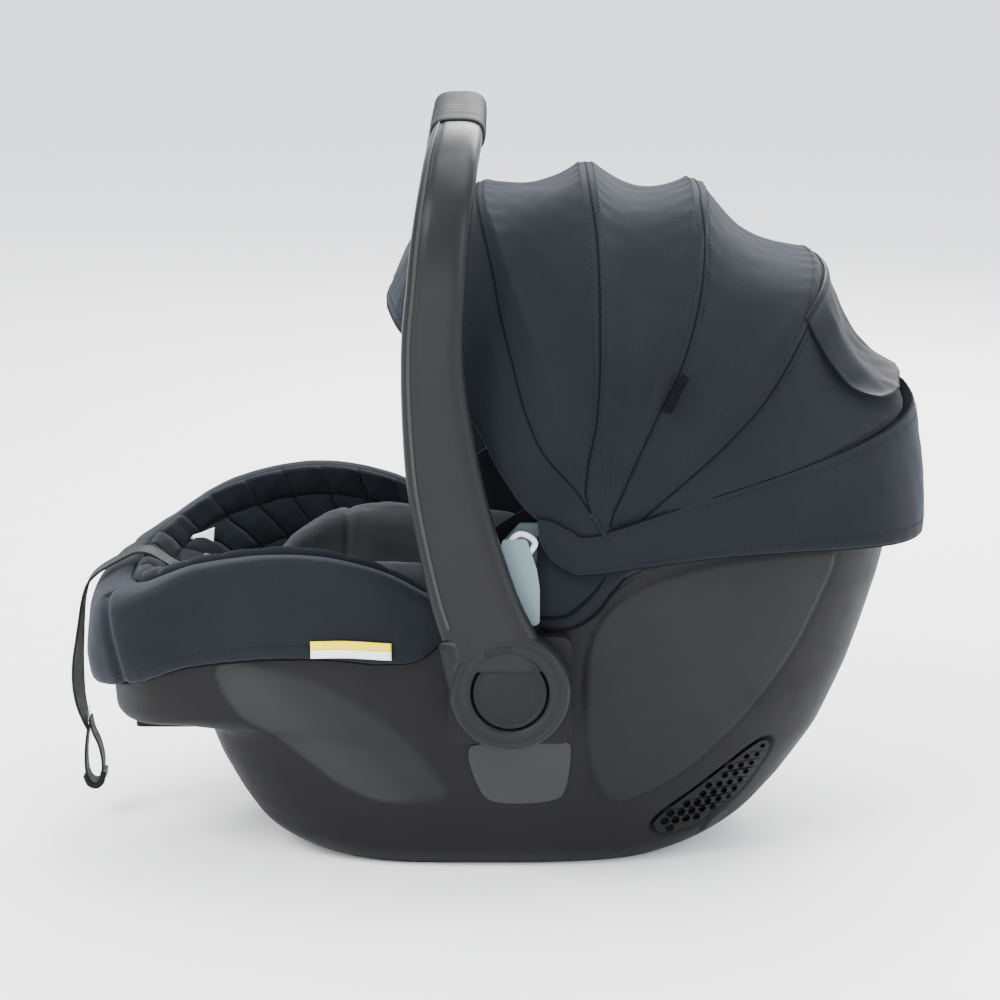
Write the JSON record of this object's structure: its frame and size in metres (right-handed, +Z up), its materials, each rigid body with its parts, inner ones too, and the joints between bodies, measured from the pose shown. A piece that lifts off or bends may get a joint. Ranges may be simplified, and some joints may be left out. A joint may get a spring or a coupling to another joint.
{
  "type": "infant car seat",
  "caption": "Rear-facing infant car seat with a turning carry handle, folding fabric canopy, padded bucket and harness.",
  "frame": {"origin": "centre of the footprint, on the floor", "axes": "+X towards the head end, +Z up, the handle and the canopy turn about +Y"},
  "size_m": [0.678, 0.442, 0.594],
  "materials": {
    "shell_plastic": "moulded matt charcoal",
    "base_plastic": "moulded matt black",
    "rubber": "soft black rubber",
    "steel": "zinc plated steel",
    "tub_plastic": "moulded grey",
    "foam": "expanded foam beads",
    "quilt_fabric": "quilted knit fabric, slate",
    "cover_fabric": "slate stretch knit",
    "insert_fabric": "soft charcoal jersey",
    "webbing": "woven black webbing",
    "handle_plastic": "satin charcoal",
    "hub_plastic": "moulded black",
    "button_plastic": "satin black",
    "grip_rubber": "soft grey grip",
    "bow_plastic": "moulded grey",
    "guide_plastic": "moulded blue grey",
    "buckle_plastic": "moulded black",
    "red_plastic": "satin red",
    "grey_plastic": "moulded grey",
    "grille_plastic": "moulded black",
    "label_film": "satin grey film",
    "label_cloth": "woven yellow and white tag",
    "care_cloth": "white woven tag"
  },
  "bodies": {
    "seat": {"outer_shell": "shell_plastic", "rocker_base": "base_plastic", "base_release_housing": "base_plastic", "canopy_mount_left": "base_plastic", "canopy_mount_right": "base_plastic", "rubber_feet": "rubber", "latch_bars": "steel", "base_release_pin": "steel", "harness_yoke": "steel", "hub_axle_left": "steel", "hub_axle_right": "steel", "buckle_tongue_left": "steel", "buckle_tongue_right": "steel", "inner_bucket": "tub_plastic", "foam_liner": "foam", "seat_pad": "quilt_fabric", "cover_border": "cover_fabric", "canopy_band": "cover_fabric", "seat_insert": "insert_fabric", "head_pillow": "insert_fabric", "crotch_pad": "insert_fabric", "shoulder_pad_left": "insert_fabric", "shoulder_pad_right": "insert_fabric", "crotch_strap": "webbing", "adjuster_strap": "webbing", "strap_loop": "webbing", "shoulder_strap_left": "webbing", "shoulder_strap_right": "webbing", "hub_housing_left": "hub_plastic", "hub_housing_right": "hub_plastic", "belt_guide_left": "guide_plastic", "belt_guide_right": "guide_plastic", "buckle_body": "buckle_plastic", "adjuster_housing": "buckle_plastic", "vent_grille_left": "grille_plastic", "vent_grille_right": "grille_plastic", "side_label_left": "label_film", "side_label_right": "label_film", "warning_label_left": "label_cloth", "warning_label_right": "label_cloth", "care_label": "care_cloth"},
    "handle": {"handle_bow": "handle_plastic", "grip_sleeve": "grip_rubber", "handle_hub_left": "handle_plastic", "handle_hub_right": "handle_plastic", "button_spring_left": "steel", "button_spring_right": "steel"},
    "button_left": {"release_button_left": "button_plastic"},
    "button_right": {"release_button_right": "button_plastic"},
    "canopy_4": {"canopy_bow_4": "bow_plastic", "canopy_gore_4": "cover_fabric"},
    "canopy_3": {"canopy_bow_3": "bow_plastic", "canopy_gore_3": "cover_fabric"},
    "canopy_2": {"canopy_bow_2": "bow_plastic", "canopy_gore_2": "cover_fabric"},
    "canopy_1": {"canopy_bow_1": "bow_plastic", "canopy_gore_1": "cover_fabric"},
    "buckle_release": {"buckle_button": "red_plastic"},
    "adjuster_release": {"adjuster_button": "grey_plastic"},
    "base_release": {"base_release_lever": "grey_plastic"}
  },
  "joints": [
    {"name": "handle_turn", "type": "hinge", "parent": "seat", "child": "handle", "pos_m": [0.0025, 0, 0.173], "axis": [0, 1, 0], "range_deg": [-90, 105]},
    {"name": "button_left_press", "type": "slide", "parent": "handle", "child": "button_left", "axis": [0, -1, 0], "range_m": [0, 0.004], "stiffness_N_per_m": 900, "springref_m": -0.002, "deforming": ["button_spring_left"]},
    {"name": "button_right_press", "type": "slide", "parent": "handle", "child": "button_right", "axis": [0, 1, 0], "range_m": [0, 0.004], "stiffness_N_per_m": 900, "springref_m": -0.002, "deforming": ["button_spring_right"]},
    {"name": "canopy_fold", "type": "hinge", "parent": "seat", "child": "canopy_4", "pos_m": [0.077, 0, 0.285], "axis": [0, 1, 0], "range_deg": [0, 17]},
    {"name": "canopy_fold_3", "type": "hinge", "parent": "canopy_4", "child": "canopy_3", "pos_m": [0.077, 0, 0.285], "axis": [0, 1, 0], "range_deg": [0, 19]},
    {"name": "canopy_fold_2", "type": "hinge", "parent": "canopy_3", "child": "canopy_2", "pos_m": [0.077, 0, 0.285], "axis": [0, 1, 0], "range_deg": [0, 13]},
    {"name": "canopy_fold_1", "type": "hinge", "parent": "canopy_2", "child": "canopy_1", "pos_m": [0.077, 0, 0.285], "axis": [0, 1, 0], "range_deg": [0, 12.5]},
    {"name": "buckle_press", "type": "slide", "parent": "seat", "child": "buckle_release", "axis": [0.9903, 0, 0.1392], "range_m": [0, 0.004], "stiffness_N_per_m": 1500, "springref_m": -0.002},
    {"name": "adjuster_press", "type": "slide", "parent": "seat", "child": "adjuster_release", "axis": [-0.309, 0, -0.9511], "range_m": [0, 0.003], "stiffness_N_per_m": 900, "springref_m": -0.002},
    {"name": "base_release_turn", "type": "hinge", "parent": "seat", "child": "base_release", "pos_m": [-0.261, 0, 0.1], "axis": [0, 1, 0], "range_deg": [0, 8], "stiffness_Nm_per_rad": 0.6, "springref_deg": -17.19}
  ],
  "couplings": [
    {"joint": "canopy_fold_3", "follows": "canopy_fold", "ratio": 1.1175},
    {"joint": "canopy_fold_2", "follows": "canopy_fold", "ratio": 0.7646},
    {"joint": "canopy_fold_1", "follows": "canopy_fold", "ratio": 0.7352}
  ]
}
